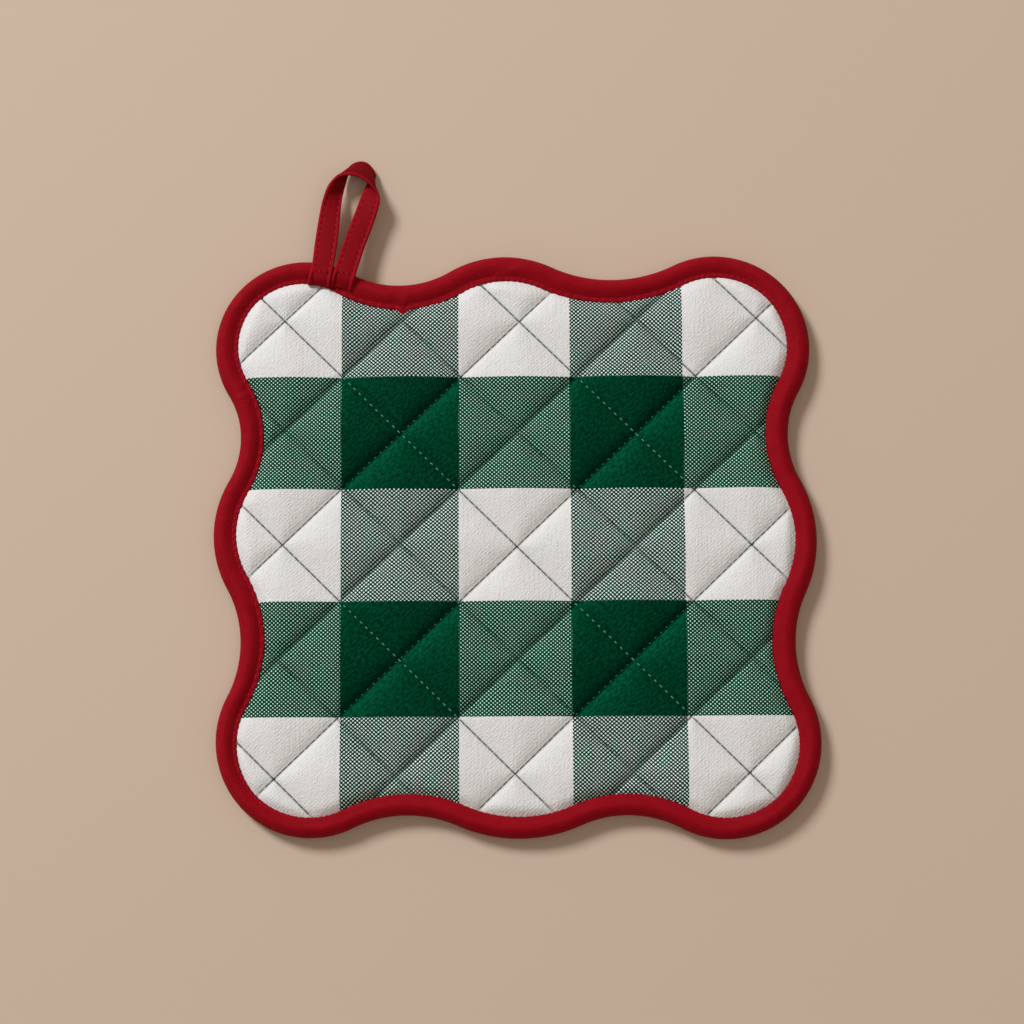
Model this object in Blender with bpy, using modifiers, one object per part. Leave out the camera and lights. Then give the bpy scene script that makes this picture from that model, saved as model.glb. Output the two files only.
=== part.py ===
"""A quilted cotton pot holder with a scalloped outline.

Three pieces: a pad of two cloth layers quilted over batting, a binding folded
around its edge, and a hanging loop of folded tape sewn over the binding.
The pot holder lies on its back. +X is to the right, +Y towards the edge that
carries the loop, +Z out of the face, and z = 0 is the surface it lies on. The
origin is in the middle of the whole outline, loop included.
"""
import math
from collections import namedtuple

import bmesh
import bpy
import numpy as np
from mathutils import Matrix

MM = 0.001
GAP = 0.3                     # clear space between two pieces, mm

# ---------------------------------------------------------------- sizes, in mm
# The outline is a closed chain of tangent arcs, in counter-clockwise order:
# eight lobes that bulge out, and after each lobe a dip that curves in.
Lobe = namedtuple("Lobe", "name x y radius dip_radius")
LOBES = (
    Lobe("right_middle", 57.5, -15.5, 41.5, 30.5),
    Lobe("top_right", 67.0, 49.0, 31.0, 47.5),
    Lobe("top_middle", -3.0, 44.0, 36.0, 34.0),
    Lobe("top_left", -69.5, 49.0, 29.5, 28.5),
    Lobe("left_middle", -63.0, -13.5, 36.0, 38.0),
    Lobe("bottom_left", -66.5, -81.0, 31.0, 40.5),
    Lobe("bottom_middle", 1.0, -63.0, 49.5, 37.5),
    Lobe("bottom_right", 68.0, -82.0, 31.0, 39.5),
)
OUTLINE_STEP = 7.5            # longest straight run along the outline

# Quilting: straight seams on both diagonals of a lattice.
CROSSING_X = 0.6              # a crossing of two seams near the middle
CROSSING_Y = -17.5
HALF_PITCH_X = 19.45          # from there to the next crossing, sideways
HALF_PITCH_Y = 18.75          # and up or down
LATTICE_CELLS = 10            # diamonds along each side of the lattice
CELL_STEPS = 5                # mesh steps across one diamond
PUFF_FULLNESS = 0.55          # below 1: steep at the seams, flat on top

# Heights above the surface it lies on.
SEAM_BOTTOM = 1.8             # underside of the pad along a seam and at its edge
SEAM_TOP = 5.2                # top of the pad along a seam and at its edge
CROWN_TOP = 9.2               # top of a puff
CROWN_FLAT = 1.4              # how far the underside's puffs are pressed flat
PAD_INSET = 2.6               # from the outline in to the pad's cut edge
PUFF_START = 8.5              # from the outline in to where the puffs begin
PUFF_RISE = 11.0              # further in, where they have their full height

# Section of the folded binding: inset from the outline, height.
BINDING_SECTION = (
    (6.9, 6.3), (5.6, 6.9), (3.8, 7.2), (2.0, 6.7), (0.6, 5.4), (0.0, 3.6),
    (0.6, 1.5), (2.0, 0.2), (3.2, 0.0), (5.8, 0.0), (6.9, 0.6),
    (6.9, SEAM_BOTTOM - GAP), (PAD_INSET - GAP, SEAM_BOTTOM - GAP),
    (PAD_INSET - GAP, SEAM_TOP + GAP), (6.9, SEAM_TOP + GAP),
)

# The loop's tape, from the end of its left tab to the end of its right tab.
# One edge stays to the front, away from the surface, and the other to the back.
TAPE_THICKNESS = 1.5
TapeStation = namedtuple("TapeStation", "name front_x front_y front_z back_x back_y back_z")
TAPE = (
    TapeStation("left_tab_end", -68.3, 69.0, 8.3, -61.2, 68.4, 8.3),
    TapeStation("left_tab", -67.4, 74.0, 8.4, -60.5, 73.1, 8.4),
    TapeStation("over_left_edge", -66.3, 79.5, 8.2, -59.3, 79.0, 8.2),
    TapeStation("left_leg_low", -65.5, 86.0, 6.6, -58.5, 86.0, 6.6),
    TapeStation("left_leg", -64.4, 94.0, 5.4, -57.6, 94.0, 5.0),
    TapeStation("left_leg_high", -62.8, 101.5, 6.0, -57.0, 101.5, 3.2),
    TapeStation("left_shoulder", -60.3, 106.5, 7.4, -57.1, 107.2, 1.4),
    TapeStation("left_turn", -56.9, 108.5, 7.6, -56.2, 111.2, 1.0),
    TapeStation("arch", -52.5, 108.7, 7.6, -52.5, 113.4, 1.0),
    TapeStation("right_turn", -47.9, 107.1, 7.6, -48.0, 112.6, 1.0),
    TapeStation("right_shoulder", -45.3, 103.4, 7.6, -46.2, 107.6, 1.2),
    TapeStation("right_leg_high", -44.3, 98.6, 7.2, -48.8, 103.0, 2.8),
    TapeStation("right_leg", -47.2, 89.0, 6.0, -52.7, 92.4, 5.2),
    TapeStation("right_leg_low", -50.2, 80.2, 7.0, -56.4, 82.7, 6.9),
    TapeStation("over_right_edge", -51.9, 75.0, 8.3, -58.4, 77.2, 8.3),
    TapeStation("right_tab", -53.4, 70.2, 8.4, -60.1, 72.0, 8.4),
    TapeStation("right_tab_end", -54.6, 65.7, 8.3, -61.0, 67.6, 8.3),
)

PAD_COLOUR = (0.33, 0.42, 0.36, 1.0)
TAPE_COLOUR = (0.33, 0.01, 0.02, 1.0)


# ------------------------------------------------------------------- outline
def dip_centres():
    """Centre of the dip after each lobe, tangent to that lobe and the next."""
    centres = []
    for i, lobe in enumerate(LOBES):
        following = LOBES[(i + 1) % len(LOBES)]
        to_lobe = lobe.radius + lobe.dip_radius
        to_next = following.radius + lobe.dip_radius
        dx, dy = following.x - lobe.x, following.y - lobe.y
        apart = math.hypot(dx, dy)
        along = (to_lobe ** 2 - to_next ** 2 + apart ** 2) / (2 * apart)
        out = math.sqrt(to_lobe ** 2 - along ** 2)
        centres.append((lobe.x + (along * dx + out * dy) / apart,
                        lobe.y + (along * dy - out * dx) / apart))
    return centres


def arc_points(centre, radius, start, sweep, drawn_radius):
    """Points along an arc, its last point left to the arc that follows."""
    steps = max(2, math.ceil(abs(sweep) * radius / OUTLINE_STEP))
    angles = [start + sweep * k / steps for k in range(steps)]
    return [(centre[0] + drawn_radius * math.cos(a),
             centre[1] + drawn_radius * math.sin(a)) for a in angles]


def outline(inset=0.0):
    """The scalloped outline, moved in by an inset, as points in mm."""
    centres = dip_centres()
    points = []
    for i, lobe in enumerate(LOBES):
        following = LOBES[(i + 1) % len(LOBES)]
        before, after = centres[i - 1], centres[i]
        start = math.atan2(before[1] - lobe.y, before[0] - lobe.x)
        end = math.atan2(after[1] - lobe.y, after[0] - lobe.x)
        points += arc_points((lobe.x, lobe.y), lobe.radius, start,
                             (end - start) % math.tau, lobe.radius - inset)
        start = math.atan2(lobe.y - after[1], lobe.x - after[0])
        end = math.atan2(following.y - after[1], following.x - after[0])
        points += arc_points(after, lobe.dip_radius, start,
                             -((start - end) % math.tau), lobe.dip_radius + inset)
    return points


# ------------------------------------------------------------ Blender helpers
def clear_scene():
    for obj in list(bpy.data.objects):
        bpy.data.objects.remove(obj, do_unlink=True)


def make_collection(name):
    collection = bpy.data.collections.new(name)
    bpy.context.scene.collection.children.link(collection)
    return collection


def make_material(name, colour, roughness):
    material = bpy.data.materials.new(name)
    material.use_nodes = True
    shader = material.node_tree.nodes["Principled BSDF"]
    shader.inputs["Base Color"].default_value = colour
    shader.inputs["Roughness"].default_value = roughness
    shader.inputs["Metallic"].default_value = 0.0
    return material


def closed_curve(name, points, collection):
    """A flat closed polyline through points given in mm."""
    curve = bpy.data.curves.new(name, "CURVE")
    curve.dimensions = "2D"
    spline = curve.splines.new("POLY")
    spline.points.add(len(points) - 1)
    for point, (x, y) in zip(spline.points, points):
        point.co = (x * MM, y * MM, 0.0, 1.0)
    spline.use_cyclic_u = True
    obj = bpy.data.objects.new(name, curve)
    collection.objects.link(obj)
    return obj


def baked(obj, name, collection):
    """A mesh object made from an object as it is evaluated, which is removed."""
    depsgraph = bpy.context.evaluated_depsgraph_get()
    mesh = bpy.data.meshes.new_from_object(obj.evaluated_get(depsgraph))
    made = bpy.data.objects.new(name, mesh)
    made.matrix_world = obj.matrix_world.copy()
    collection.objects.link(made)
    bpy.data.objects.remove(obj, do_unlink=True)
    return made


def weld(obj):
    bm = bmesh.new()
    bm.from_mesh(obj.data)
    bmesh.ops.remove_doubles(bm, verts=bm.verts, dist=0.01 * MM)
    bm.to_mesh(obj.data)
    bm.free()


def hide_as_cutter(obj):
    obj.hide_render = True
    obj.display_type = "WIRE"


# ----------------------------------------------------------------------- pad
def lattice_slab(collection):
    """A flat slab whose mesh lines run along the quilting seams."""
    bpy.ops.mesh.primitive_grid_add(x_subdivisions=LATTICE_CELLS * CELL_STEPS,
                                    y_subdivisions=LATTICE_CELLS * CELL_STEPS,
                                    size=LATTICE_CELLS)
    slab = bpy.context.active_object
    to_seams = Matrix(((HALF_PITCH_X * MM, HALF_PITCH_X * MM, 0, CROSSING_X * MM),
                       (HALF_PITCH_Y * MM, -HALF_PITCH_Y * MM, 0, CROSSING_Y * MM),
                       (0, 0, 1, 0),
                       (0, 0, 0, 1)))
    slab.data.transform(to_seams)
    slab.data.flip_normals()
    slab.data.transform(Matrix.Translation((0, 0, SEAM_TOP * MM)))
    thicken = slab.modifiers.new("thickness", "SOLIDIFY")
    thicken.thickness = (SEAM_TOP - SEAM_BOTTOM) * MM
    thicken.offset = -1.0
    return baked(slab, "pad_slab", collection)


def outline_cutter(collection):
    """A tall block of the pad's own outline."""
    curve = closed_curve("outline_curve", outline(PAD_INSET), collection)
    curve.data.fill_mode = "BOTH"
    curve.data.extrude = CROWN_TOP * MM
    cutter = baked(curve, "pad_outline", collection)
    weld(cutter)
    hide_as_cutter(cutter)
    return cutter


def puff_heights(x, y):
    """How full the padding is at points in mm: 0 at seams and edge, up to 1."""
    across = (x - CROSSING_X) / HALF_PITCH_X
    along = (y - CROSSING_Y) / HALF_PITCH_Y
    rising = np.abs(np.sin(np.pi * (across + along) / 2))
    falling = np.abs(np.sin(np.pi * (across - along) / 2))
    edge = np.array(outline())
    inset = np.min(np.hypot(x[:, None] - edge[:, 0], y[:, None] - edge[:, 1]), axis=1)
    ramp = np.clip((inset - PUFF_START) / PUFF_RISE, 0.0, 1.0)
    return (rising * falling) ** PUFF_FULLNESS * ramp * ramp * (3.0 - 2.0 * ramp)


def add_puffs(pad):
    """Swell the slab between its seams, and press the underside flat."""
    count = len(pad.data.vertices)
    places = np.empty(count * 3)
    pad.data.vertices.foreach_get("co", places)
    places = places.reshape(count, 3)
    puff = puff_heights(places[:, 0] / MM, places[:, 1] / MM)
    top = places[:, 2] > (SEAM_TOP + SEAM_BOTTOM) / 2 * MM
    swell = (CROWN_TOP - SEAM_TOP) * puff
    press = SEAM_BOTTOM * np.minimum(1.0, CROWN_FLAT * puff)
    places[:, 2] += np.where(top, swell, -press) * MM
    pad.data.vertices.foreach_set("co", places.ravel())
    pad.data.update()


def make_pad(collection, cutters, material):
    slab = lattice_slab(collection)
    cut = slab.modifiers.new("outline", "BOOLEAN")
    cut.operation = "INTERSECT"
    cut.object = outline_cutter(cutters)
    pad = baked(slab, "quilted_pad", collection)
    weld(pad)
    add_puffs(pad)
    pad.data.shade_smooth()
    pad.data.materials.clear()
    pad.data.materials.append(material)
    return pad


# ------------------------------------------------------------------- binding
def make_binding(collection, cutters, material):
    """The folded section, carried once around the outline."""
    outwards = [(-inset, height) for inset, height in BINDING_SECTION]
    section = closed_curve("binding_section", outwards, cutters)
    hide_as_cutter(section)
    binding = closed_curve("edge_binding", outline(), collection)
    binding.data.dimensions = "3D"
    binding.data.twist_mode = "Z_UP"
    binding.data.fill_mode = "FULL"
    binding.data.bevel_mode = "OBJECT"
    binding.data.bevel_object = section
    binding.data.materials.append(material)
    return binding


# ---------------------------------------------------------------------- loop
def make_loop(collection, material):
    """A strip between the tape's two edges, smoothed and given its thickness."""
    bm = bmesh.new()
    rows = []
    for station in TAPE:
        front = (station.front_x * MM, station.front_y * MM, station.front_z * MM)
        back = (station.back_x * MM, station.back_y * MM, station.back_z * MM)
        rows.append((bm.verts.new(front), bm.verts.new(back)))
    for (front, back), (next_front, next_back) in zip(rows, rows[1:]):
        bm.faces.new((front, back, next_back, next_front))
    mesh = bpy.data.meshes.new("hanging_loop")
    bm.to_mesh(mesh)
    bm.free()
    mesh.shade_smooth()
    loop = bpy.data.objects.new("hanging_loop", mesh)
    collection.objects.link(loop)
    smooth = loop.modifiers.new("smooth", "SUBSURF")
    smooth.levels = 1
    smooth.render_levels = 1
    smooth.boundary_smooth = "PRESERVE_CORNERS"
    thicken = loop.modifiers.new("tape_thickness", "SOLIDIFY")
    thicken.thickness = TAPE_THICKNESS * MM
    thicken.offset = 0.0
    mesh.materials.append(material)
    return loop


def main():
    clear_scene()
    parts = make_collection("pot_holder")
    cutters = make_collection("cutters")
    check_cloth = make_material("check_cloth", PAD_COLOUR, 0.9)
    binding_cloth = make_material("binding_cloth", TAPE_COLOUR, 0.8)
    loop_tape = make_material("loop_tape", TAPE_COLOUR, 0.75)
    make_pad(parts, cutters, check_cloth)
    make_binding(parts, cutters, binding_cloth)
    make_loop(parts, loop_tape)


main()
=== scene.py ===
"""Looks of the quilted pot holder: cloth, stitches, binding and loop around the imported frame.

Lengths in the tables are millimetres in the row frame. The pot holder lies on its back on
z = 0, with +X to the right of its face and +Y towards the edge that carries the loop.
"""

import math
from collections import namedtuple

import bpy
import numpy as np
from mathutils import Euler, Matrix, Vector


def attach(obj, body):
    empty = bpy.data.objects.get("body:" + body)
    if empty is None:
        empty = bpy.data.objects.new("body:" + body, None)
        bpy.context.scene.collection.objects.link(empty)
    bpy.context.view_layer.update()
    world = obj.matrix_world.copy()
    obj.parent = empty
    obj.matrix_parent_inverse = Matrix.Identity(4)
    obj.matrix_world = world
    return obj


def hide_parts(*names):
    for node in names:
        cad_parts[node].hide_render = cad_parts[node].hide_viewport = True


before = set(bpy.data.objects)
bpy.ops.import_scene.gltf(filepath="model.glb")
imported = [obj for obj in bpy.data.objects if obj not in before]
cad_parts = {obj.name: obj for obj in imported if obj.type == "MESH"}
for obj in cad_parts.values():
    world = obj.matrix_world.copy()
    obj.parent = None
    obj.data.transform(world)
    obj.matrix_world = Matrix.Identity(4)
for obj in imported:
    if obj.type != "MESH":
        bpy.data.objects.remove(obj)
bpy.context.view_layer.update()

MM = 0.001
SEED = 20

# ------------------------------------------------------------------ outline
Lobe = namedtuple("Lobe", "name x y radius dip_radius")
LOBES = (
    Lobe("right_middle", 57.5, -15.5, 41.5, 30.5),
    Lobe("top_right", 67.0, 49.0, 31.0, 47.5),
    Lobe("top_middle", -3.0, 44.0, 36.0, 34.0),
    Lobe("top_left", -69.5, 49.0, 29.5, 28.5),
    Lobe("left_middle", -63.0, -13.5, 36.0, 38.0),
    Lobe("bottom_left", -66.5, -81.0, 31.0, 40.5),
    Lobe("bottom_middle", 1.0, -63.0, 49.5, 37.5),
    Lobe("bottom_right", 68.0, -82.0, 31.0, 39.5),
)

# ------------------------------------------------------------------ quilting
CROSSING_X, CROSSING_Y = 0.7, -17.4     # a crossing of two seams near the middle
HALF_PITCH_X, HALF_PITCH_Y = 19.35, 18.8
LEAN = 0.33                             # sideways drift of the crossings for each half pitch up
SEAM_SPACING = 26.95
LATTICE_END = 5                         # last line of each set of seams, both ways
LINES = np.arange(-LATTICE_END, LATTICE_END + 1)
# how far each seam was sewn to the right of its place, from the lower left to the upper right
RISING_DRIFT = np.array([-0.6, -0.6, -0.4, 0.0, -0.25, 0.3, 0.5, -0.2, -0.5, -1.2, -1.2])
FALLING_DRIFT = np.array([-0.9, -0.9, 0.0, 0.5, 0.6, -0.4, -0.1, -0.35, 0.2, 1.3, 1.3])
CELL_STEPS = 28                         # mesh steps from one seam to the next

SEAM_BOTTOM, SEAM_TOP = 1.8, 5.7
PUFF_RISE, PUFF_LENGTH = 2.3, 4.4       # height of a full puff, and how fast it rises from a seam
PUFF_SHARES, PUFF_GRID = (0.9, 1.1), 16  # least and greatest share of it, on a grid of puffs
CROWN_RISE, CROWN_WIDTH = 0.5, 10.0     # slow extra rise to the middle of a puff
CREASE_DEPTH, CREASE_WIDTH = 0.3, 0.45
CROSSED_CREASE = 1.3                    # creases' greatest sum, where two of them cross
LUMP_SIZE, LUMP_SHARE = 19.0, 0.07      # broad unevenness of the filling
PUCKER_SIZE, PUCKER_HEIGHT = 5.2, 0.05  # small unevenness of the face
UNDER_BINDING, EDGE_WIDTH = 1.0, 3.0    # drop of the pad at the binding, and how far in it starts
EDGE_CREASE_WIDTH = 2.0
EDGE_STEEPNESS = 1.3                    # the puffs rise faster from the binding than from a seam
BACK_PUFF, BACK_CREASE, BACK_LOWEST = 1.5, 0.6, 0.02   # how the same seams shape the back
PAD_INSET = 3.6                         # the pad's rim, hidden in the binding

# shade painted on the dyed cloth beside the rising seams: dark above them, light below
DARK_REACH, DARK_STOP = 2.6, 0.3
LIGHT_START, LIGHT_REACH, LIGHT_GAIN = 0.8, 4.0, 1.4

# ------------------------------------------------------------------ check
COLUMN_EDGES = (-57.1, -18.4, 18.4, 55.8)
ROW_EDGES = (38.65, 1.15, -35.9, -73.65)
THREAD_X, THREAD_Y = 0.70, 0.626

STITCH_PITCH = 2.55

# ------------------------------------------------------------------ binding sizes
ROLL_WIDTH = 7.0              # width of the section that ROLL gives
LIP_COVER = 0.4               # how far the binding's lip reaches over the pad
BindingWidth = namedtuple("BindingWidth", "lobe dip")
BINDING_WIDTHS = {            # at the middle of each lobe and of the dip after it
    "right_middle": BindingWidth(6.7, 7.3),
    "top_right": BindingWidth(7.2, 8.0),
    "top_middle": BindingWidth(8.5, 8.45),
    "top_left": BindingWidth(7.2, 7.7),
    "left_middle": BindingWidth(7.4, 8.0),
    "bottom_left": BindingWidth(6.0, 6.4),
    "bottom_middle": BindingWidth(6.6, 6.45),
    "bottom_right": BindingWidth(6.5, 7.45),
}
TUCK_AT, TUCK_SIZE = (-36.9, 60.9), 2.0


# ------------------------------------------------------------------ outline functions
def dip_centres():
    """Centre of the arc between each lobe and the next one, tangent to both."""
    centres = []
    for i, lobe in enumerate(LOBES):
        following = LOBES[(i + 1) % len(LOBES)]
        to_lobe = lobe.radius + lobe.dip_radius
        to_next = following.radius + lobe.dip_radius
        dx, dy = following.x - lobe.x, following.y - lobe.y
        apart = math.hypot(dx, dy)
        along = (to_lobe ** 2 - to_next ** 2 + apart ** 2) / (2 * apart)
        out = math.sqrt(to_lobe ** 2 - along ** 2)
        centres.append((lobe.x + (along * dx + out * dy) / apart,
                        lobe.y + (along * dy - out * dx) / apart))
    return centres


def outline_arcs():
    """(centre, radius, start angle, sweep) of each arc, counter-clockwise around the pad."""
    centres = dip_centres()
    arcs = []
    for i, lobe in enumerate(LOBES):
        following = LOBES[(i + 1) % len(LOBES)]
        before, after = centres[i - 1], centres[i]
        start = math.atan2(before[1] - lobe.y, before[0] - lobe.x)
        end = math.atan2(after[1] - lobe.y, after[0] - lobe.x)
        arcs.append(((lobe.x, lobe.y), lobe.radius, start, (end - start) % math.tau))
        start = math.atan2(lobe.y - after[1], lobe.x - after[0])
        end = math.atan2(following.y - after[1], following.x - after[0])
        arcs.append((after, lobe.dip_radius, start, -((start - end) % math.tau)))
    return arcs


ARCS = outline_arcs()
OUTLINE_LENGTH = sum(abs(sweep) * radius for _, radius, _, sweep in ARCS)
SAMPLE_STEP, AT_A_TIME = 0.5, 4000      # spacing of sample points, and points handled at a time


def outline_at(distances):
    """Points on the outline and the unit vectors that point in from it, at distances along it."""
    distances = np.asarray(distances, float) % OUTLINE_LENGTH
    points = np.zeros((len(distances), 2))
    inwards = np.zeros((len(distances), 2))
    begun = 0.0
    for (cx, cy), radius, start, sweep in ARCS:
        length = abs(sweep) * radius
        here = (distances >= begun) & (distances < begun + length + 1e-9)
        angle = start + sweep * (distances[here] - begun) / length
        away = np.stack([np.cos(angle), np.sin(angle)], 1)
        points[here] = np.array([cx, cy]) + radius * away
        inwards[here] = -away if sweep > 0 else away
        begun += length
    return points, inwards


def outline_distance_of(x, y):
    """Distance along the outline of the outline's point nearest to (x, y)."""
    samples = np.arange(0.0, OUTLINE_LENGTH, SAMPLE_STEP / 2)
    points, _ = outline_at(samples)
    return samples[np.argmin(np.hypot(points[:, 0] - x, points[:, 1] - y))]


def binding_width(at):
    """Width of the binding on the face, at distances along the outline."""
    stations, widths, begun = [], [], 0.0
    for k, (_, radius, _, sweep) in enumerate(ARCS):
        length = abs(sweep) * radius
        stations.append(begun + length / 2)
        widths.append(BINDING_WIDTHS[LOBES[k // 2].name][k % 2])
        begun += length
    width = np.interp(at, stations, widths, period=OUTLINE_LENGTH)
    tuck = np.abs(at - outline_distance_of(*TUCK_AT))
    return width + TUCK_SIZE * np.clip(1.0 - tuck / TUCK_SIZE, 0.0, 1.0)


def place_by_outline(x, y):
    """How far points lie inside the outline, and the distance along it that they are nearest."""
    samples = np.arange(0.0, OUTLINE_LENGTH, SAMPLE_STEP)
    points, inwards = outline_at(samples)
    inset, at = np.empty(len(x)), np.empty(len(x))
    for low in range(0, len(x), AT_A_TIME):
        part = slice(low, low + AT_A_TIME)
        dx = x[part, None] - points[None, :, 0]
        dy = y[part, None] - points[None, :, 1]
        nearest = np.argmin(dx * dx + dy * dy, axis=1)
        rows = np.arange(len(nearest))
        inset[part] = (dx[rows, nearest] * inwards[nearest, 0]
                       + dy[rows, nearest] * inwards[nearest, 1])
        at[part] = samples[nearest]
    return inset, at


def clearance(inset, at):
    """How far inside the binding's inner edge points lie (negative under the binding)."""
    return inset - binding_width(at) + LIP_COVER


# ------------------------------------------------------------------ mesh helpers
def new_mesh_object(name, points_mm, faces, material=None):
    """A smooth object from points in millimetres."""
    mesh = bpy.data.meshes.new(name)
    mesh.from_pydata((np.asarray(points_mm) * MM).tolist(), [], faces)
    mesh.update()
    mesh.shade_smooth()
    obj = bpy.data.objects.new(name, mesh)
    bpy.context.scene.collection.objects.link(obj)
    if material is not None:
        mesh.materials.append(material)
    return obj


def add_attribute(obj, name, values):
    attribute = obj.data.attributes.new(name, "FLOAT", "POINT")
    attribute.data.foreach_set("value", np.asarray(values, np.float32))


def ring_faces(rings, around, closed_along):
    """Quads of a tube: rings of `around` points each, closed or open along its length."""
    faces = []
    last = rings if closed_along else rings - 1
    for i in range(last):
        a, b = i * around, ((i + 1) % rings) * around
        for j in range(around):
            k = (j + 1) % around
            faces.append((a + j, a + k, b + k, b + j))
    return faces


# ------------------------------------------------------------------ pad
def lattice_to_plane(p, q):
    """Places of lattice coordinates: p counts the falling seams, q the rising ones."""
    p = p + np.interp(p, LINES, FALLING_DRIFT) / SEAM_SPACING
    q = q + np.interp(q, LINES, RISING_DRIFT) / SEAM_SPACING
    x = CROSSING_X + HALF_PITCH_X * (p + q) + LEAN * (p - q)
    y = CROSSING_Y + HALF_PITCH_Y * (p - q)
    return x, y


def seam_gap(coordinate):
    """Distance in millimetres from the nearest seam of one set."""
    return np.abs(coordinate - np.round(coordinate)) * SEAM_SPACING


def seam_shade(q):
    """Painted shade beside the rising seams: -1, dark, above them, up to 0.8, light, below."""
    gap = seam_gap(q)
    below = q > np.round(q)
    above = q < np.round(q)
    dark = np.exp(-gap / np.where(below, DARK_STOP, DARK_REACH))
    light = LIGHT_GAIN * (1 - np.exp(-gap / LIGHT_START)) * np.exp(-gap / LIGHT_REACH)
    return np.where(above, 0.0, light) - dark


def nearest_seam(*gaps):
    """The smallest of some distances, rounded off where two of them are much the same."""
    return sum((np.maximum(gap, 1e-3)) ** -3.0 for gap in gaps) ** (-1.0 / 3.0)


NOISE_WAVES = 9


def smooth_noise(x, y, scale, seed):
    """Smooth noise from -1 to 1 made of a few seeded waves."""
    rng = np.random.default_rng(seed)
    total = np.zeros_like(x)
    for _ in range(NOISE_WAVES):
        angle = rng.uniform(0, math.tau)
        length = scale * rng.uniform(0.7, 1.6)
        total += np.sin(math.tau * (x * math.cos(angle) + y * math.sin(angle)) / length
                        + rng.uniform(0, math.tau))
    return 2 * total / NOISE_WAVES


def pad_heights(p, q, x, y, clear):
    """Top and bottom of the quilted pad, `clear` millimetres inside the binding."""
    falling, rising = seam_gap(p), seam_gap(q)
    edge = np.clip(clear, 0.0, None)
    gap = nearest_seam(falling, rising, EDGE_STEEPNESS * edge)
    puff = 1.0 - np.exp(-gap / PUFF_LENGTH)
    shares = np.random.default_rng(SEED).uniform(*PUFF_SHARES, (PUFF_GRID, PUFF_GRID))
    share = shares[tuple(np.floor(c).astype(int) + PUFF_GRID // 2 for c in (p, q))]
    lumps = 1.0 + LUMP_SHARE * smooth_noise(x, y, LUMP_SIZE, SEED + 1)
    crease = np.exp(-(falling / CREASE_WIDTH) ** 2) + np.exp(-(rising / CREASE_WIDTH) ** 2)
    crease = (CREASE_DEPTH * np.minimum(crease, CROSSED_CREASE)
              * np.clip(edge / EDGE_CREASE_WIDTH, 0.0, 1.0))
    from_edge = np.clip(edge / EDGE_WIDTH, 0.0, 1.0)
    pucker = PUCKER_HEIGHT * smooth_noise(x, y, PUCKER_SIZE, SEED + 2) * from_edge
    rise = (PUFF_RISE * puff * share * lumps
            + CROWN_RISE * np.clip(gap / CROWN_WIDTH, 0.0, 1.0) ** 2)
    top = SEAM_TOP - UNDER_BINDING * (1.0 - from_edge) + rise - crease + pucker
    bottom = SEAM_BOTTOM * (1.0 - np.minimum(1.0, BACK_PUFF * puff)) + BACK_CREASE * crease
    return top, np.maximum(bottom, BACK_LOWEST)


def make_pad(front, back):
    """The filled cloth as one closed mesh, gridded along its seams."""
    steps = 2 * LATTICE_END * CELL_STEPS
    line = np.linspace(-LATTICE_END, LATTICE_END, steps + 1)
    p, q = (a.ravel() for a in np.meshgrid(line, line, indexing="ij"))
    x, y = lattice_to_plane(p, q)
    inset, at = place_by_outline(x, y)
    clear = clearance(inset, at)
    inside = (inset > PAD_INSET).reshape(steps + 1, steps + 1)
    whole = inside[:-1, :-1] & inside[1:, :-1] & inside[1:, 1:] & inside[:-1, 1:]
    index = np.arange((steps + 1) ** 2).reshape(steps + 1, steps + 1)
    i, j = np.nonzero(whole)
    quads = np.stack([index[i, j], index[i + 1, j], index[i + 1, j + 1], index[i, j + 1]], 1)
    used, compact = np.unique(quads, return_inverse=True)
    quads = compact.reshape(quads.shape)
    count = len(used)
    p, q, x, y, clear = (a[used] for a in (p, q, x, y, clear))
    top, bottom = pad_heights(p, q, x, y, clear)
    points = np.concatenate([np.stack([x, y, top], 1), np.stack([x, y, bottom], 1)])
    edges = {}
    for quad in quads:
        for k in range(4):
            a, b = int(quad[k]), int(quad[(k + 1) % 4])
            if (b, a) in edges:
                del edges[(b, a)]
            else:
                edges[(a, b)] = True
    # p x q points down, so a quad in that order faces down
    faces = [tuple(f) for f in quads[:, ::-1].tolist()]
    faces += [tuple(f) for f in (quads + count).tolist()]
    faces += [(a, b, b + count, a + count) for a, b in edges]
    pad = new_mesh_object("quilted_cloth", points, faces)
    pad.data.materials.append(front)
    pad.data.materials.append(back)
    slots = np.zeros(len(faces), np.int32)
    slots[len(quads):] = 1
    pad.data.polygons.foreach_set("material_index", slots)
    add_attribute(pad, "falling_gap", np.tile(seam_gap(p), 2))
    add_attribute(pad, "rising_gap", np.tile(seam_gap(q), 2))
    add_attribute(pad, "seam_shade", np.tile(seam_shade(q), 2))
    return pad


# ------------------------------------------------------------------ stitches
def capsule(start, end, radius, sides=6):
    """Points and faces of a short round thread between two points, its ends drawn in."""
    start, end = np.asarray(start, float), np.asarray(end, float)
    along = end - start
    length = np.linalg.norm(along)
    along /= length
    side = np.cross(along, (0.0, 0.0, 1.0))
    side /= np.linalg.norm(side)
    up = np.cross(side, along)
    profile = ((0.0, 0.35, -0.35), (0.12, 0.85, -0.1), (0.35, 1.0, 0.0),
               (0.65, 1.0, 0.0), (0.88, 0.85, -0.1), (1.0, 0.35, -0.35))
    angles = np.arange(sides) * math.tau / sides
    ring = np.cos(angles)[:, None] * side + np.sin(angles)[:, None] * up
    points = np.concatenate([start + along * length * t + (ring * scale + up * sink) * radius
                             for t, scale, sink in profile])
    faces = ring_faces(len(profile), sides, False)
    faces.append(tuple(range(sides))[::-1])
    faces.append(tuple(range(len(points) - sides, len(points))))
    return points, faces


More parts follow.
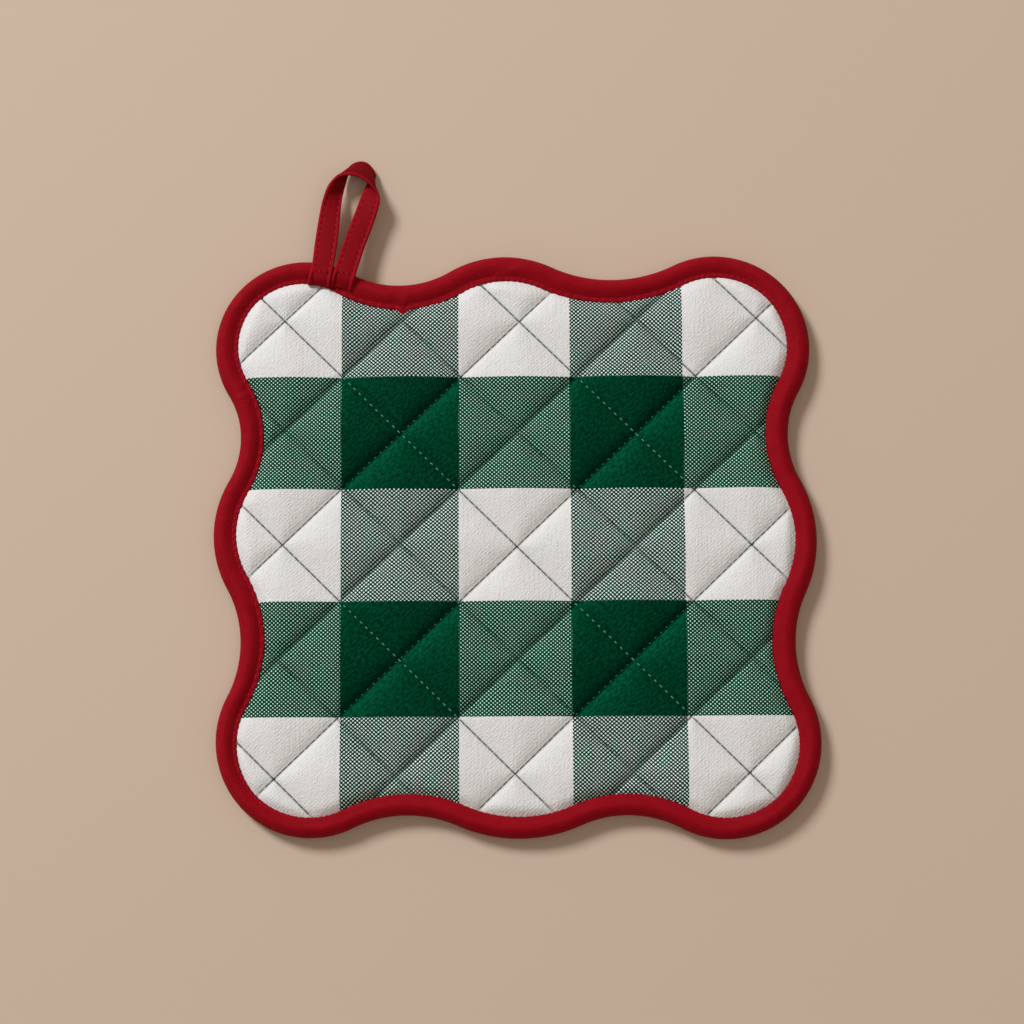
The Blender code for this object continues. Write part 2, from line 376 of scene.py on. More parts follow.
def joined(name, pieces, material):
    """One object made of many (points, faces) pieces."""
    points, faces, begun = [], [], 0
    for piece_points, piece_faces in pieces:
        points.append(piece_points)
        faces += [tuple(v + begun for v in face) for face in piece_faces]
        begun += len(piece_points)
    return new_mesh_object(name, np.concatenate(points), faces, material)


def in_stripes(value, edges):
    """Whether a place lies in the second or fourth of five stripes."""
    a, b, c, d = sorted(edges)
    return a < value < b or c < value < d


StitchShape = namedtuple("StitchShape", "length radius lift")
ON_WHITE = StitchShape(2.5, 0.2, 0.04)
# on green and on mixed squares, by whether the seam is a falling one
ON_GREEN = {True: StitchShape(1.2, 0.22, 0.1), False: StitchShape(0.6, 0.12, 0.02)}
ON_MIXED = {True: StitchShape(1.2, 0.15, 0.03), False: StitchShape(0.6, 0.12, 0.0)}
STITCH_MIDDLE = 1.2           # where along a stitch the colour under it is looked up
SWAY, LENGTH_SPREAD, PITCH_SPREAD = 0.06, 0.12, 0.08
STITCHED_FROM = 0.5           # distance from the binding where a seam's stitches start


def stitch_shape(x, y, falls):
    """Shape of a quilting stitch on the colour it is sewn on, on a falling or a rising seam."""
    green_column, green_row = in_stripes(x, COLUMN_EDGES), in_stripes(y, ROW_EDGES)
    if not green_column and not green_row:
        return ON_WHITE
    return (ON_GREEN if green_column and green_row else ON_MIXED)[falls]


def quilting_stitches(material):
    """One joined mesh of the stitches along every quilting seam of the face."""
    rng = np.random.default_rng(SEED + 5)
    pieces = []
    for line in LINES[1:-1]:
        for falls in (True, False):
            across = np.linspace(-LATTICE_END, LATTICE_END, 4001)
            fixed = np.full_like(across, float(line))
            p, q = (fixed, across) if falls else (across, fixed)
            x, y = lattice_to_plane(p, q)
            clear = clearance(*place_by_outline(x, y))
            run = np.concatenate([[0.0], np.cumsum(np.hypot(np.diff(x), np.diff(y)))])
            inside = np.nonzero(clear > STITCHED_FROM)[0]
            if len(inside) < 10:
                continue
            begin, end = run[inside[0]], run[inside[-1]]
            at = begin + rng.uniform(0.2, 1.2)
            while at + STITCH_PITCH < end:
                middle = at + STITCH_MIDDLE
                length, radius, lift = stitch_shape(np.interp(middle, run, x),
                                                    np.interp(middle, run, y), falls)
                spread = rng.uniform(-LENGTH_SPREAD, LENGTH_SPREAD)
                stitch = np.array([at, at + length + spread])
                sx, sy = np.interp(stitch, run, x), np.interp(stitch, run, y)
                top, _ = pad_heights(np.interp(stitch, run, p), np.interp(stitch, run, q),
                                     sx, sy, np.interp(stitch, run, clear))
                sway = rng.uniform(-SWAY, SWAY, 2)
                ends = np.stack([sx + sway, sy, top + lift], 1)
                pieces.append(capsule(ends[0], ends[1], radius))
                at += STITCH_PITCH + rng.uniform(-PITCH_SPREAD, PITCH_SPREAD)
    return joined("quilting_stitches", pieces, material)


# ------------------------------------------------------------------ binding
# inset and height around the folded section, from the lip over the front to the back
ROLL = (
    (7.0, 5.4), (6.98, 5.75), (6.8, 6.0), (6.5, 6.03), (6.25, 5.9), (6.05, 5.68), (5.8, 5.75),
    (5.3, 6.15), (4.6, 6.65), (3.8, 7.05), (3.0, 7.2), (2.2, 7.05), (1.4, 6.5), (0.75, 5.65),
    (0.25, 4.65), (-0.1, 3.6), (0.2, 2.5), (0.7, 1.4), (1.4, 0.6), (2.3, 0.12), (3.4, 0.02),
    (4.6, 0.05), (5.7, 0.15), (6.3, 0.5), (6.8, 0.6), (7.0, 1.0), (6.95, 1.55), (3.0, 1.6),
    (2.2, 2.4), (2.2, 4.6), (3.0, 5.5), (6.0, 5.55),
)
FRONT_HEIGHT = 5.0            # section points above this follow the width on the face
PLAIN_LIP = (4.8, 5.1, 5.55, 5.9, 6.05, 6.15, 6.27, 6.45)   # first heights where no groove shows
LIP_POINTS = 5                # section points of the lip, whose edge the stitches pull in
FACE_POINTS = 13              # section points of the face
OUTER_POINTS = slice(12, 18)  # section points of the outer roll
PULL_IN, PULL_DOWN = 0.22, 0.3
SAG_SIZE, SAG_HEIGHT = 26.0, 0.12
OUTER_SWELL = 0.32            # how much further out the shaded side's roll stands
BINDING_STEP = 0.6
TILT, TILT_TOWARDS = 0.15, np.array([-0.707, 0.707])   # the binding leans to one side
TILT_MIDDLE = 3.0
THREAD_RADIUS = 0.16
JOIN_FROM, JOIN_TO, JOIN_STEP = (-7.6, 72.5), (0.4, 76.3), 0.5
JOIN_EDGE, JOIN_REACH = 0.3, 6.0
HEM_LENGTH, HEM_INSET, HEM_HEIGHT, HEM_SINK = 1.25, 6.08, 6.02, 0.1


def join_height(x, y):
    """Step of the overlapping tape end, which sinks again beyond it."""
    (ax, ay), (bx, by) = JOIN_FROM, JOIN_TO
    length = math.hypot(bx - ax, by - ay)
    beyond = ((x - ax) * (by - ay) - (y - ay) * (bx - ax)) / length
    rise = JOIN_STEP * np.clip(beyond / JOIN_EDGE, 0.0, 1.0)
    return rise * np.exp(-np.clip(beyond, 0, None) / JOIN_REACH)


def plain_share(facing):
    """1 where the lip lies flat against the pad, 0 where it stands off and a groove shows."""
    return np.clip(0.45 + 1.3 * facing, 0.0, 1.0)


def make_binding(material):
    """The folded tape around the pad's edge, its section swept along the outline."""
    count = int(OUTLINE_LENGTH / BINDING_STEP)
    at = np.arange(count) * OUTLINE_LENGTH / count
    points, inwards = outline_at(at)
    widths = binding_width(at)
    pull = np.abs(np.sin(math.pi * at / STITCH_PITCH)) ** 0.6
    sag = smooth_noise(points[:, 0], points[:, 1], SAG_SIZE, SEED + 7)
    section = np.array(ROLL)
    front = section[:, 1] > FRONT_HEIGHT
    plain_points = len(PLAIN_LIP)
    rows = []
    for k in range(count):
        inset = section[:, 0].copy()
        height = section[:, 1].copy()
        inset[front] *= widths[k] / ROLL_WIDTH
        inset[:LIP_POINTS] += PULL_IN * (pull[k] - 0.6)
        height[:LIP_POINTS] += PULL_DOWN * (pull[k] - 0.75)
        height[LIP_POINTS:OUTER_POINTS.start] += SAG_HEIGHT * sag[k]
        facing = float(inwards[k] @ TILT_TOWARDS)
        to_plain = np.array(PLAIN_LIP) - height[:plain_points]
        height[:plain_points] += 0.9 * plain_share(facing) * to_plain
        height[:FACE_POINTS] += TILT * facing * (inset[:FACE_POINTS] - TILT_MIDDLE)
        inset[OUTER_POINTS] -= OUTER_SWELL * np.clip(0.5 + facing, 0.0, 1.0)
        xy = points[k] + np.outer(inset, inwards[k])
        height[:FACE_POINTS] += join_height(xy[:FACE_POINTS, 0], xy[:FACE_POINTS, 1])
        rows.append(np.column_stack([xy, height]))
    faces = ring_faces(count, len(section), True)
    return new_mesh_object("binding_tape", np.concatenate(rows), faces, material)


def binding_stitches(material):
    """Short stitches that show in the groove behind the lip."""
    rng = np.random.default_rng(SEED + 9)
    count = int(OUTLINE_LENGTH / STITCH_PITCH)
    at = (np.arange(count) + 0.25) * OUTLINE_LENGTH / count
    pieces = []
    for start in at:
        ends_at = np.array([start, start + HEM_LENGTH + rng.uniform(-0.15, 0.15)])
        points, inwards = outline_at(ends_at)
        depth = HEM_INSET * binding_width(ends_at) / ROLL_WIDTH
        xy = points + depth[:, None] * inwards
        facing = inwards @ TILT_TOWARDS
        z = HEM_HEIGHT + join_height(xy[:, 0], xy[:, 1]) + TILT * facing * (depth - TILT_MIDDLE)
        z -= HEM_SINK * plain_share(facing)
        pieces.append(capsule((*xy[0], z[0]), (*xy[1], z[1]), THREAD_RADIUS))
    return joined("binding_stitches", pieces, material)


# ------------------------------------------------------------------ loop
TapeStation = namedtuple("TapeStation", "name front_x front_y front_z back_x back_y back_z")
TAPE = (
    TapeStation("left_tab_end", -68.6, 70.5, 6.2, -61.2, 69.6, 6.2),
    TapeStation("left_tab", -68.1, 72.8, 7.9, -60.7, 71.8, 7.9),
    TapeStation("over_left_edge", -67.0, 77.7, 7.6, -59.7, 77.0, 7.6),
    TapeStation("left_leg_low", -66.2, 85.2, 6.4, -58.6, 85.1, 6.4),
    TapeStation("left_leg", -65.0, 93.6, 5.8, -57.9, 93.7, 5.4),
    TapeStation("left_leg_high", -63.7, 99.7, 6.2, -57.5, 100.1, 3.4),
    TapeStation("left_shoulder", -61.6, 104.2, 7.2, -56.6, 106.2, 1.4),
    TapeStation("left_turn", -58.5, 107.0, 7.6, -55.0, 111.4, 1.0),
    TapeStation("arch", -54.8, 107.7, 7.6, -52.1, 113.7, 1.0),
    TapeStation("right_turn", -51.1, 106.7, 7.6, -48.8, 113.0, 1.0),
    TapeStation("right_shoulder", -47.4, 103.9, 7.6, -46.7, 109.0, 1.2),
    TapeStation("right_leg_high", -44.7, 99.1, 7.2, -49.7, 104.4, 2.8),
    TapeStation("right_leg", -46.8, 91.0, 6.0, -53.7, 93.5, 5.2),
    TapeStation("right_leg_low", -49.8, 82.4, 6.4, -56.8, 84.6, 6.4),
    TapeStation("over_right_edge", -51.8, 75.6, 7.6, -59.2, 76.8, 7.6),
    TapeStation("right_tab", -52.9, 71.4, 7.9, -60.2, 73.0, 7.9),
    TapeStation("right_tab_end", -54.0, 68.5, 6.2, -61.2, 70.1, 6.2),
)
TAPE_STEPS = 14               # mesh steps between two stations
TAB_STATIONS = 1.5            # stations of each end that lie on the binding
ARCH_STATION = 8.6            # middle of the ribbed outer side of the loop
SEAM_HIDDEN = 2.3             # stations each side of it where no stitches show
RIBBED_STATIONS = 2.6         # stations each side of it where the ribs end
EDGE_SEAM_SIDE = 0.66         # place of the seams, from -1 to 1 across the tape
LOOP_PITCH = 2.2
SEAM_MARGIN = (0.4, 2.2)      # free tape before the first stitch and after the last
TAB_SEAM_STARTS, TAB_SEAM_LENGTH = (-0.82, -0.32, 0.18), 0.24
SEAM_THREAD_RADIUS, TAB_THREAD_RADIUS = 0.17, 0.18
LoopStitch = namedtuple("LoopStitch", "after length lift tab_after tab_lift")
THREAD_STITCH = LoopStitch(0.0, 0.9, 0.44, 0.0, 0.56)
# dark dashes between the stitches: painted shade where the thread sinks into the tape
STITCH_DIP_SHADE = LoopStitch(1.25, 0.7, 0.36, 0.28, 0.5)


def catmull_rom(points, steps):
    """A smooth line through points, with its ends drawn straight on."""
    points = np.asarray(points, float)
    ends = np.vstack([2 * points[0] - points[1], points, 2 * points[-1] - points[-2]])
    line = []
    for k in range(len(points) - 1):
        a, b, c, d = ends[k:k + 4]
        for t in np.arange(steps) / steps:
            line.append(0.5 * (2 * b + (c - a) * t + (2 * a - 5 * b + 4 * c - d) * t * t
                               + (3 * b - a - 3 * c + d) * t ** 3))
    line.append(points[-1])
    return np.array(line)


# across the tape from -1 (front edge) to 1 (back edge), and height of each side
TAPE_FACE = ((-1.0, 0.1), (-0.96, 0.5), (-0.86, 0.68), (-0.74, 0.6), (-0.66, 0.42), (-0.56, 0.55),
             (-0.3, 0.6), (0.0, 0.6), (0.3, 0.6), (0.56, 0.55), (0.66, 0.42), (0.74, 0.6),
             (0.86, 0.68), (0.96, 0.5), (0.99, 0.15))
# the slit between the two layers of the folded strip, open at its back edge
TAPE_INSIDE = ((0.97, -0.06), (-0.88, -0.06), (-0.88, 0.06), (0.97, 0.06))
TAB_RIB_FROM, TAB_RIB_RISE, TAB_MIDDLE_RISE = 0.7, 0.35, -0.12   # raised sides of the tabs


def tape_frames():
    """Middle line of the tape, half its width across, and its normal, at every mesh step."""
    front = catmull_rom([(s.front_x, s.front_y, s.front_z) for s in TAPE], TAPE_STEPS)
    back = catmull_rom([(s.back_x, s.back_y, s.back_z) for s in TAPE], TAPE_STEPS)
    middle = (front + back) / 2
    across = (back - front) / 2
    along = np.gradient(middle, axis=0)
    normal = np.cross(across, along)
    normal /= np.linalg.norm(normal, axis=1)[:, None]
    return middle, across, normal


def tab_weight(step):
    """1 where the tape lies sewn down on the binding, 0 on the free loop."""
    last = (len(TAPE) - 1) * TAPE_STEPS
    from_end = np.minimum(step, last - step) / TAPE_STEPS
    return np.clip((TAB_STATIONS - from_end) / 0.25, 0.0, 1.0)


def make_loop(material):
    """The folded tape of the loop, with raised sides where its ends lie on the binding."""
    middle, across, normal = tape_frames()
    outer = np.array(TAPE_FACE[::-1])
    rib = np.where(np.abs(outer[:, 0]) > TAB_RIB_FROM, TAB_RIB_RISE, TAB_MIDDLE_RISE)
    weight = tab_weight(np.arange(len(middle)))
    rows, sides = [], []
    for k in range(len(middle)):
        top = outer[:, 1] + rib * weight[k]
        section = np.concatenate([np.column_stack([outer[:, 0], top]),
                                  outer[::-1] * (1.0, -1.0), TAPE_INSIDE])
        rows.append(middle[k] + np.outer(section[:, 0], across[k])
                    + np.outer(section[:, 1], normal[k]))
        sides.append(section[:, 0])
    around = len(rows[0])
    faces = ring_faces(len(rows), around, False)
    faces.append(tuple(range(around))[::-1])
    faces.append(tuple(range((len(rows) - 1) * around, len(rows) * around)))
    loop = new_mesh_object("loop_tape", np.concatenate(rows), faces, material)
    add_attribute(loop, "side", np.concatenate(sides))
    station = np.arange(len(middle)) / TAPE_STEPS
    arch = np.clip(RIBBED_STATIONS - np.abs(station - ARCH_STATION), 0.0, 1.0)
    add_attribute(loop, "arch", np.repeat(arch, around))
    return loop


def loop_stitches(name, shape, material):
    """Two seams along the tape, seen on both of its faces, and one across each tab."""
    middle, across, normal = tape_frames()
    run = np.concatenate([[0.0], np.cumsum(np.linalg.norm(np.diff(middle, axis=0), axis=1))])
    free = run[tab_weight(np.arange(len(middle))) == 0.0]
    station = np.arange(len(middle)) / TAPE_STEPS

    def on_tape(distance, side, lift):
        place = [np.interp(distance, run, middle[:, k] + side * across[:, k]
                           + lift * normal[:, k]) for k in range(3)]
        return np.array(place)

    pieces = []
    for side in (-EDGE_SEAM_SIDE, EDGE_SEAM_SIDE):
        for start in np.arange(free[0] + SEAM_MARGIN[0], free[-1] - SEAM_MARGIN[1], LOOP_PITCH):
            if abs(np.interp(start, run, station) - ARCH_STATION) < SEAM_HIDDEN:
                continue
            for lift in (shape.lift, -shape.lift):
                ends = [on_tape(start + shape.after + part, side, lift)
                        for part in (0.0, shape.length)]
                pieces.append(capsule(*ends, SEAM_THREAD_RADIUS))
    for distance in (free[0] - SEAM_MARGIN[0], free[-1] + SEAM_MARGIN[0]):
        for start in TAB_SEAM_STARTS:
            ends = [on_tape(distance, start + shape.tab_after + part, shape.tab_lift)
                    for part in (0.0, TAB_SEAM_LENGTH)]
            pieces.append(capsule(*ends, TAB_THREAD_RADIUS))
    return joined(name, pieces, material)


# ------------------------------------------------------------------ materials
def colour(r, g, b):
    """A linear colour from the usual 0 to 255 values."""
    def linear(v):
        v /= 255.0
        return v / 12.92 if v <= 0.04045 else ((v + 0.055) / 1.055) ** 2.4
    return (linear(r), linear(g), linear(b), 1.0)


# dark and light end of each cloth's grain
WHITE = (colour(232, 230, 226), colour(246, 246, 243))
GREEN = (colour(0, 36, 19), colour(0, 68, 40))
LIT_GREEN = (colour(0, 74, 44), colour(0, 112, 72))
BACK_WHITE = (colour(226, 221, 210), colour(236, 232, 224))
RED = (colour(138, 7, 19), colour(164, 15, 31))
RED_THREAD = (colour(165, 20, 34), colour(205, 48, 58))
# painted shade of the dips where the loop's thread sinks into the tape
DIP_SHADE_RED = (colour(58, 1, 6), colour(76, 2, 10))
# the dyed and the white threads of the mixed stripes
MIXED_COLUMN = (colour(0, 44, 27), colour(238, 255, 248))
MIXED_ROW = (colour(0, 56, 31), colour(216, 255, 236))
# painted shade beside the rising seams, and painted shade in every seam's crease
SHADE, CREASE_SHADE = colour(0, 12, 7), colour(0, 14, 8)
# painted shade on the loop tape's flat middle, painted highlight on its raised sides
SHADED_TAPE_MIDDLE, LIT_TAPE_EDGE = colour(92, 2, 10), colour(182, 24, 38)
# one thread: painted darker on white squares for the shade of its crease, lighter on green
# squares as a painted highlight
SHADED_THREAD_ON_WHITE, THREAD_ON_MIXED = colour(50, 56, 42), colour(50, 88, 70)
LIT_THREAD_ON_GREEN = colour(92, 164, 130)

WANDER = 0.7                            # how far the threads wander across their run, in mm
LEANING = 0.22                          # how far the crossings lean to one diagonal
WEFT_OVER, WARP_OVER = (0.16, 0.44), (0.38, 0.66)   # crossings where the white threads show
LIGHT_ON_GREEN = 0.5                    # strength of the painted light and shade
SHADE_ON_DYED, SHADE_ON_GREEN = 0.42, 0.4
CREASE_SHADE_REACH = (0.75, 0.1)                # distances from a seam where the painted crease shade starts and is full
RIB_SIDES = (0.62, 0.85)                # where the tape's raised sides start and are full
RIBS = 3.2                              # cords across half the tape's width


class Nodes:
    """Short ways to build a node tree."""

    def __init__(self, name):
        self.material = bpy.data.materials.new(name)
        self.material.use_nodes = True
        self.tree = self.material.node_tree
        self.shader = self.tree.nodes["Principled BSDF"]

    def link(self, value, socket):
        if isinstance(value, bpy.types.NodeSocket):
            self.tree.links.new(value, socket)
        else:
            socket.default_value = value

    def math(self, operation, *values):
        node = self.tree.nodes.new("ShaderNodeMath")
        node.operation = operation
        for value, socket in zip(values, node.inputs):
            self.link(value, socket)
        return node.outputs[0]

    def mix(self, factor, a, b):
        node = self.tree.nodes.new("ShaderNodeMix")
        node.data_type = "RGBA"
        self.link(factor, node.inputs[0])
        self.link(a, node.inputs[6])
        self.link(b, node.inputs[7])
        return node.outputs[2]

    def smoothstep(self, value, low, high):
        node = self.tree.nodes.new("ShaderNodeMapRange")
        node.interpolation_type = "SMOOTHSTEP"
        self.link(value, node.inputs[0])
        self.link(low, node.inputs[1])
        self.link(high, node.inputs[2])
        return node.outputs[0]

    def position(self):
        node = self.tree.nodes.new("ShaderNodeTexCoord")
        return node.outputs["Object"]

    def separate(self, vector):
        node = self.tree.nodes.new("ShaderNodeSeparateXYZ")
        self.link(vector, node.inputs[0])
        return node.outputs

    def combine(self, x, y, z=0.0):
        node = self.tree.nodes.new("ShaderNodeCombineXYZ")
        for value, socket in zip((x, y, z), node.inputs):
            self.link(value, socket)
        return node.outputs[0]

    def noise(self, vector, scale, detail=2.0, roughness=0.5):
        node = self.tree.nodes.new("ShaderNodeTexNoise")
        self.link(vector, node.inputs["Vector"])
        node.inputs["Scale"].default_value = scale
        node.inputs["Detail"].default_value = detail
        node.inputs["Roughness"].default_value = roughness
        return node.outputs["Fac"]

    def attribute(self, name):
        node = self.tree.nodes.new("ShaderNodeAttribute")
        node.attribute_name = name
        return node.outputs["Fac"]

    def bump(self, height, distance, strength=1.0):
        node = self.tree.nodes.new("ShaderNodeBump")
        node.inputs["Strength"].default_value = strength
        node.inputs["Distance"].default_value = distance
        self.link(height, node.inputs["Height"])
        return node.outputs[0]


def stripe_mask(n, value, edges):
    """1 in the second and fourth of five stripes, 0 in the others."""
    a, b, c, d = sorted(edges)
    first = n.math("MULTIPLY", n.math("GREATER_THAN", value, a), n.math("LESS_THAN", value, b))
    second = n.math("MULTIPLY", n.math("GREATER_THAN", value, c), n.math("LESS_THAN", value, d))
    return n.math("ADD", first, second)


def matte(n, roughness=0.9, specular=0.03):
    n.shader.inputs["Roughness"].default_value = roughness
    n.shader.inputs["Specular IOR Level"].default_value = specular


def drawn_out(n, px, py, stretch):
    """Coordinates that draw a noise out along the rising diagonal."""
    return n.combine(n.math("MULTIPLY", n.math("ADD", px, py), stretch),
                     n.math("SUBTRACT", px, py))


def check_cloth():
    """Plain weave of green and white threads that make a buffalo check."""
    n = Nodes("check_cloth")
    place = n.position()
    px, py, _ = n.separate(place)
    x = n.math("MULTIPLY", px, 1000.0)
    y = n.math("MULTIPLY", py, 1000.0)
    # threads wander a little across their run
    wander_x = n.math("SUBTRACT", n.noise(n.combine(px, n.math("MULTIPLY", py, 0.3)), 230.0), 0.5)
    wander_y = n.math("SUBTRACT", n.noise(n.combine(n.math("MULTIPLY", px, 0.3), py), 230.0), 0.5)
    u = n.math("ADD", x, n.math("MULTIPLY", wander_x, WANDER))
    v = n.math("ADD", y, n.math("MULTIPLY", wander_y, WANDER))
    u = n.math("MULTIPLY", u, math.pi / THREAD_X)
    v = n.math("MULTIPLY", v, math.pi / THREAD_Y)
    rising = n.math("COSINE", n.math("SUBTRACT", u, v))
    falling = n.math("COSINE", n.math("ADD", u, v))
    # in some patches the crossings run together along one diagonal, in others along the other
    lean = n.smoothstep(n.noise(drawn_out(n, px, py, 0.6), 300.0, 1.0), 0.3, 0.7)
    rising_share = n.math("ADD", n.math("MULTIPLY", lean, LEANING), (1.0 - LEANING) / 2)
    falling_share = n.math("SUBTRACT", 1.0, rising_share)
    crossing = n.math("SUBTRACT", n.math("MULTIPLY", rising, rising_share),
                      n.math("MULTIPLY", falling, falling_share))
    green_warp = stripe_mask(n, x, COLUMN_EDGES)
    green_weft = stripe_mask(n, y, ROW_EDGES)
    solid = n.math("MULTIPLY", green_warp, green_weft)
    white_weft = n.smoothstep(crossing, *WEFT_OVER)     # over the green warp
    white_warp = n.smoothstep(crossing, *WARP_OVER)     # over the green weft
    white = n.mix(n.noise(place, 700.0, 2.0, 0.6), *WHITE)
    speckle = n.smoothstep(n.noise(drawn_out(n, px, py, 0.5), 1000.0, 1.0), 0.3, 0.7)
    green = n.mix(speckle, *GREEN)
    mixed_column = n.mix(white_weft, *MIXED_COLUMN)
    mixed_row = n.mix(white_warp, *MIXED_ROW)
    tone = n.mix(green_warp, white, mixed_column)
    tone = n.mix(green_weft, tone, mixed_row)
    tone = n.mix(solid, tone, green)
    shade = n.attribute("seam_shade")
    lit = n.math("MULTIPLY", n.math("MAXIMUM", shade, 0.0), LIGHT_ON_GREEN)
    tone = n.mix(n.math("MULTIPLY", lit, solid), tone, n.mix(speckle, *LIT_GREEN))
    dyed = n.math("MAXIMUM", green_warp, green_weft)
    depth = n.math("ADD", n.math("MULTIPLY", dyed, SHADE_ON_DYED),
                   n.math("MULTIPLY", solid, SHADE_ON_GREEN))
    shaded = n.math("MAXIMUM", n.math("MULTIPLY", shade, -1.0), 0.0)
    tone = n.mix(n.math("MULTIPLY", shaded, depth), tone, SHADE)
    # painted shade in the seams' creases: the cloth is darker close to each seam
    falling_seam = n.smoothstep(n.attribute("falling_gap"), *CREASE_SHADE_REACH)
    rising_seam = n.smoothstep(n.attribute("rising_gap"), *CREASE_SHADE_REACH)
    crease_shade_amount = n.math("MULTIPLY", n.math("MAXIMUM", falling_seam, rising_seam), 0.5)
    tone = n.mix(crease_shade_amount, tone, n.mix(0.75, tone, CREASE_SHADE))
    n.link(tone, n.shader.inputs["Base Color"])
    matte(n, roughness=0.68, specular=0.3)
    n.shader.inputs["Specular Tint"].default_value = (0.02, 0.5, 0.3, 1.0)
    # diagonal grain of the surface, with faint upright threads
    strokes = n.noise(drawn_out(n, px, py, 0.72), 1000.0, 2.0, 0.6)
    upright = n.noise(n.combine(px, n.math("MULTIPLY", py, 0.08)), 1300.0, 1.0)
    height = n.math("ADD", strokes, n.math("MULTIPLY", upright, 0.5))
    height = n.math("ADD", height, n.math("MULTIPLY", crossing, 0.12))
    n.link(n.bump(height, 0.00028, 1.0), n.shader.inputs["Normal"])
    return n.material


def plain_cloth():
    """Off-white plain weave of the back."""
    n = Nodes("back_cloth")
    place = n.position()
    px, py, _ = n.separate(place)
    wave_u = n.math("SINE", n.math("MULTIPLY", px, 1000.0 * math.pi / THREAD_X))
    wave_v = n.math("SINE", n.math("MULTIPLY", py, 1000.0 * math.pi / THREAD_Y))
    weave = n.math("ABSOLUTE", n.math("MULTIPLY", wave_u, wave_v))
    n.link(n.mix(n.noise(place, 120.0), *BACK_WHITE), n.shader.inputs["Base Color"])
    matte(n)
    n.link(n.bump(weave, 0.00015, 0.6), n.shader.inputs["Normal"])
    return n.material


def red_cloth(name, colours=RED, ribs=False):
    """Red cotton; where it is the loop's tape, with painted shade on its flat middle, a painted
    highlight on its raised sides, and a corded arch.
    """
    n = Nodes(name)
    place = n.position()
    px, py, _ = n.separate(place)
    tone = n.mix(n.noise(place, 330.0, 3.0), *colours)
    matte(n, roughness=0.65, specular=0.05)
    twill = n.math("SINE", n.math("MULTIPLY", n.math("SUBTRACT", px, py), 1000.0 * 2.0 * math.pi))
    height = n.math("ADD", n.math("MULTIPLY", twill, 0.15), n.noise(place, 1500.0, 2.0))
    if ribs:
        side = n.attribute("side")
        raised = n.smoothstep(n.math("ABSOLUTE", side), *RIB_SIDES)
        # painted shade on the flat middle, painted highlight on the raised sides
        tone = n.mix(raised, n.mix(0.25, tone, SHADED_TAPE_MIDDLE), n.mix(0.3, tone, LIT_TAPE_EDGE))
        cord = n.math("SINE", n.math("MULTIPLY", side, RIBS * math.tau))
        cord = n.math("MULTIPLY", cord, n.attribute("arch"))
        height = n.math("ADD", height, n.math("MULTIPLY", cord, 3.0))
    n.link(tone, n.shader.inputs["Base Color"])
    n.link(n.bump(height, 0.00018, 0.8), n.shader.inputs["Normal"])
    return n.material


def quilting_thread():
    """One thread, painted darker on white squares for the shade of its crease and lighter on
    green squares as a painted highlight.
    """
    n = Nodes("quilting_thread")
    px, py, _ = n.separate(n.position())
    x = n.math("MULTIPLY", px, 1000.0)
    y = n.math("MULTIPLY", py, 1000.0)
    columns, rows = stripe_mask(n, x, COLUMN_EDGES), stripe_mask(n, y, ROW_EDGES)
    any_green = n.math("MAXIMUM", columns, rows)
    tone = n.mix(any_green, SHADED_THREAD_ON_WHITE, THREAD_ON_MIXED)
    tone = n.mix(n.math("MULTIPLY", columns, rows), tone, LIT_THREAD_ON_GREEN)
    n.link(tone, n.shader.inputs["Base Color"])
    matte(n, roughness=0.7)
    return n.material


# ------------------------------------------------------------------ stage
AIM = Vector((-0.9, -5.6, 0.0)) * MM
CAMERA_DISTANCE = 0.8006
CAMERA_TILT, CAMERA_PAN, CAMERA_ROLL = 8.35, -0.36, -0.24
Light = namedtuple("Light", "name direction distance size energy tint")
LIGHTS = (
    Light("key", (-1.0, 1.0, 1.2), 3.0, 0.9, 66.0, (0.98, 0.99, 1.06)),
    Light("fill", (0.6, -0.5, 2.0), 3.0, 2.5, 8.0, (1.0, 0.95, 0.9)),
)
SKY_COLOUR, SKY_STRENGTH = (1.0, 0.88, 0.76, 1.0), 0.26
FLOOR_COLOUR = colour(215, 193, 170)
FLOOR_REACH, FLOOR_HEIGHT = 3000, -0.15   # millimetres


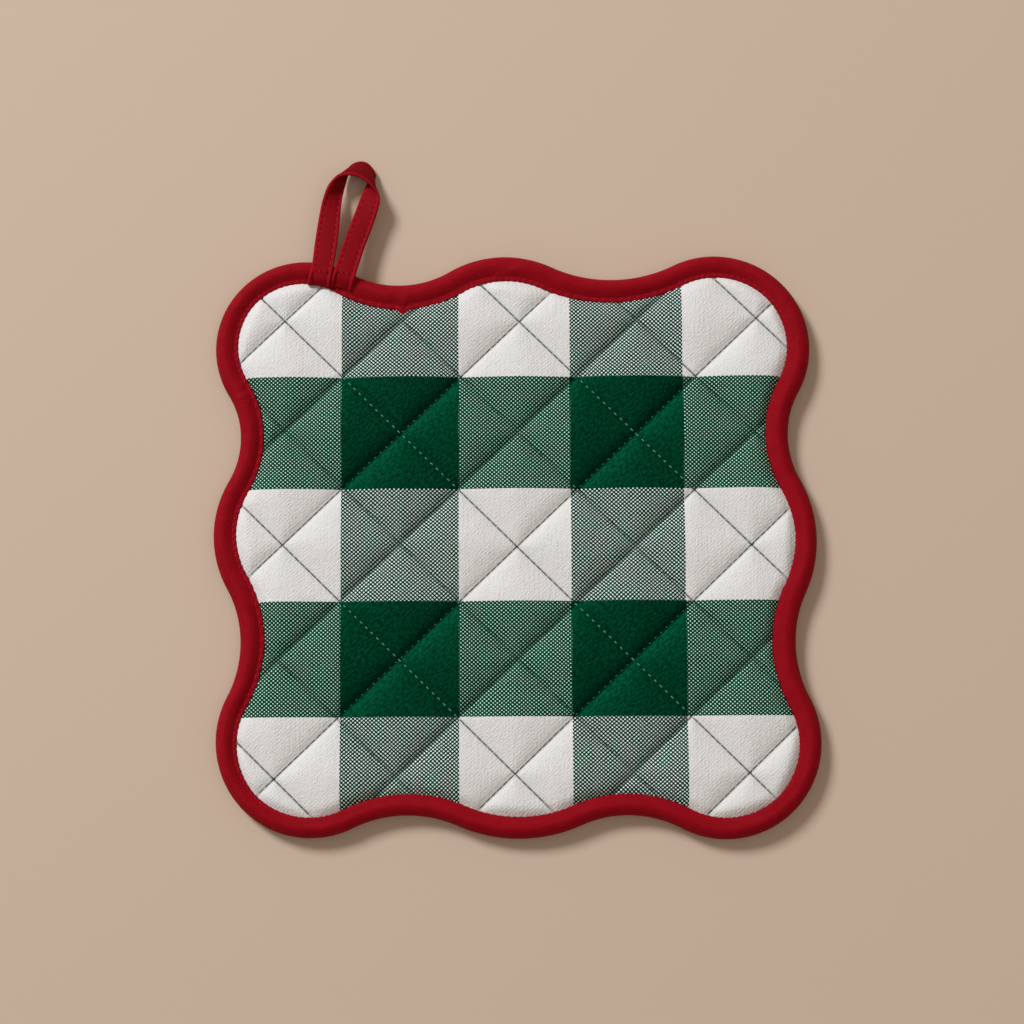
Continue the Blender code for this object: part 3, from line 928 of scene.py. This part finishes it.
def make_camera():
    """The camera, looking down at the face."""
    data = bpy.data.cameras.new("camera")
    data.lens = 85.0
    data.sensor_width = 36.0
    camera = bpy.data.objects.new("camera", data)
    bpy.context.scene.collection.objects.link(camera)
    turn = (Euler((math.radians(CAMERA_TILT), 0, 0)).to_matrix()
            @ Euler((0, math.radians(CAMERA_PAN), 0)).to_matrix()
            @ Euler((0, 0, math.radians(CAMERA_ROLL))).to_matrix())
    camera.location = AIM + turn @ Vector((0, 0, CAMERA_DISTANCE))
    camera.rotation_euler = turn.to_euler()
    bpy.context.scene.camera = camera


def area_light(light):
    data = bpy.data.lights.new(light.name, "AREA")
    data.shape = "DISK"
    data.size = light.size
    data.energy = light.energy
    data.color = light.tint
    lamp = bpy.data.objects.new(light.name, data)
    bpy.context.scene.collection.objects.link(lamp)
    lamp.location = Vector(light.direction).normalized() * light.distance
    lamp.rotation_euler = (-lamp.location).to_track_quat("-Z", "Y").to_euler()


def make_stage():
    """A pale floor, two lights and an even sky."""
    corners = [(FLOOR_REACH * x, FLOOR_REACH * y, FLOOR_HEIGHT)
               for x, y in ((-1, -1), (1, -1), (1, 1), (-1, 1))]
    floor = new_mesh_object("floor", corners, [(0, 1, 2, 3)])
    n = Nodes("floor")
    n.shader.inputs["Base Color"].default_value = FLOOR_COLOUR
    n.shader.inputs["Roughness"].default_value = 0.85
    floor.data.materials.append(n.material)
    for light in LIGHTS:
        area_light(light)
    world = bpy.data.worlds.new("studio")
    bpy.context.scene.world = world
    world.use_nodes = True
    background = world.node_tree.nodes["Background"]
    background.inputs["Color"].default_value = SKY_COLOUR
    background.inputs["Strength"].default_value = SKY_STRENGTH
    bpy.context.scene.view_settings.view_transform = "Standard"


def main():
    make_camera()
    make_stage()
    pad = make_pad(check_cloth(), plain_cloth())
    quilting = quilting_stitches(quilting_thread())
    binding = make_binding(red_cloth("binding_cloth"))
    red_thread = red_cloth("red_thread", RED_THREAD)
    hem = binding_stitches(red_thread)
    loop = make_loop(red_cloth("loop_tape", ribs=True))
    seams = loop_stitches("loop_stitches", THREAD_STITCH, red_thread)
    # dark dashes of painted shade in the dips between the loop's stitches
    dip_shade_cloth = red_cloth("stitch_dip_shade", DIP_SHADE_RED)
    dip_shades = loop_stitches("loop_stitch_dip_shades", STITCH_DIP_SHADE, dip_shade_cloth)
    for piece in (pad, quilting, binding, hem, loop, seams, dip_shades):
        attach(piece, "root")
    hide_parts("quilted_pad")
    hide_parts("edge_binding")
    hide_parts("hanging_loop")


main()
